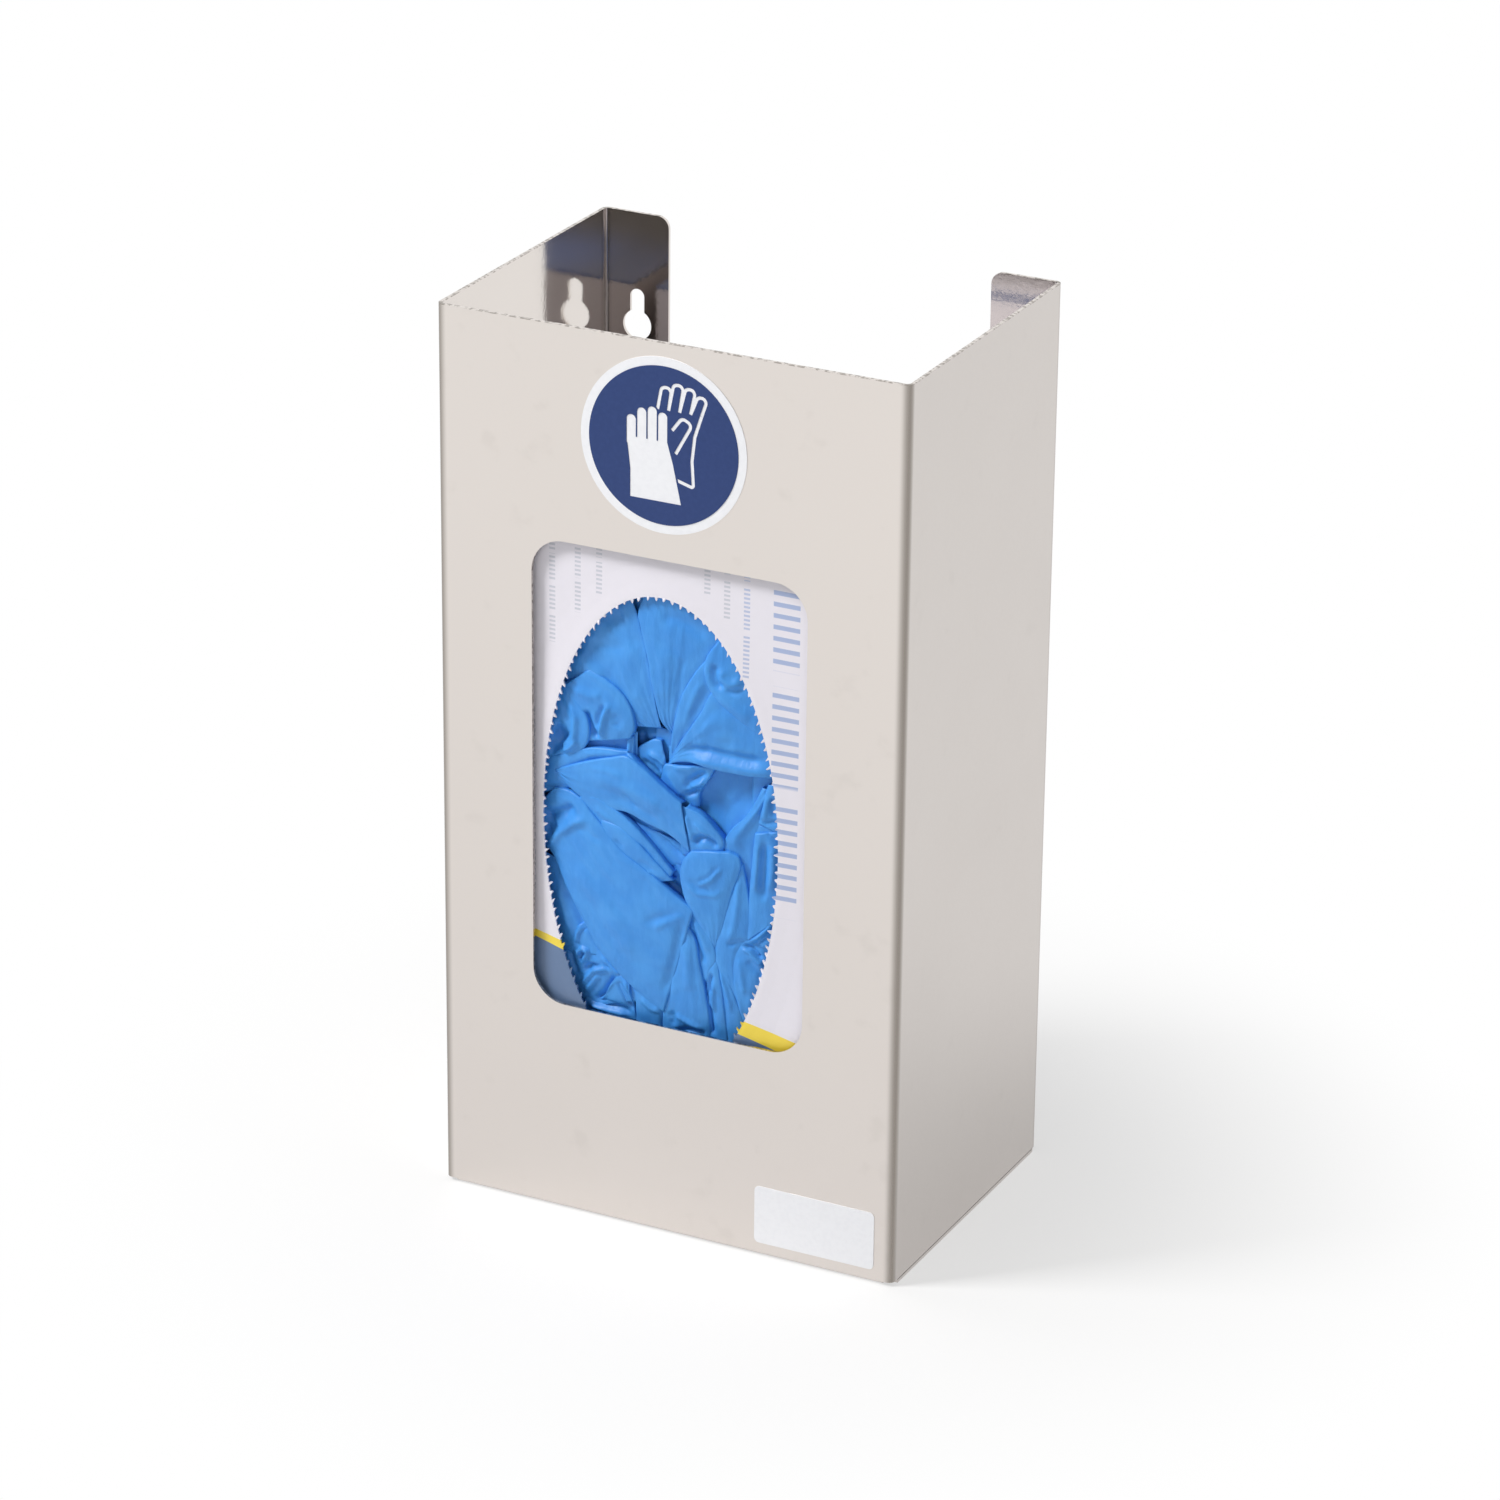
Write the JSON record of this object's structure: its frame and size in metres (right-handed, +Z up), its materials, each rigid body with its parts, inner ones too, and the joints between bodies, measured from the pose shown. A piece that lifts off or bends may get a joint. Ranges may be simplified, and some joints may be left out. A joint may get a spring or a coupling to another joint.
{
  "type": "disposable glove dispenser",
  "caption": "Folded stainless steel wall holder with a window, holding an upright card carton of blue disposable gloves behind its oval opening.",
  "frame": {"origin": "middle of the bounding box footprint, on the surface the base stands on", "axes": "+Z up, +Y towards the wall, +X to the right as seen from the front"},
  "size_m": [0.142, 0.0973, 0.265],
  "materials": {
    "steel": "bright annealed stainless sheet, cut edges",
    "sign_white": "glossy vinyl sticker",
    "sign_blue": "printed blue under gloss",
    "label_white": "glossy vinyl sticker",
    "card": "coated white card",
    "print_yellow": "printed on coated card",
    "print_slate": "printed on coated card",
    "print_pale_blue": "printed on coated card",
    "nitrile": "thin blue nitrile, satin"
  },
  "bodies": {
    "root": {"holder_body": "steel", "sign_sticker": "sign_white", "sign_print": "sign_blue", "label_sticker": "label_white", "carton": "card", "carton_yellow_print": "print_yellow", "carton_slate_print": "print_slate", "carton_text_bars": "print_pale_blue", "glove_pack": "nitrile", "glove_top": "nitrile", "glove_left": "nitrile", "glove_centre": "nitrile", "glove_front": "nitrile", "glove_right": "nitrile"}
  },
  "joints": []
}
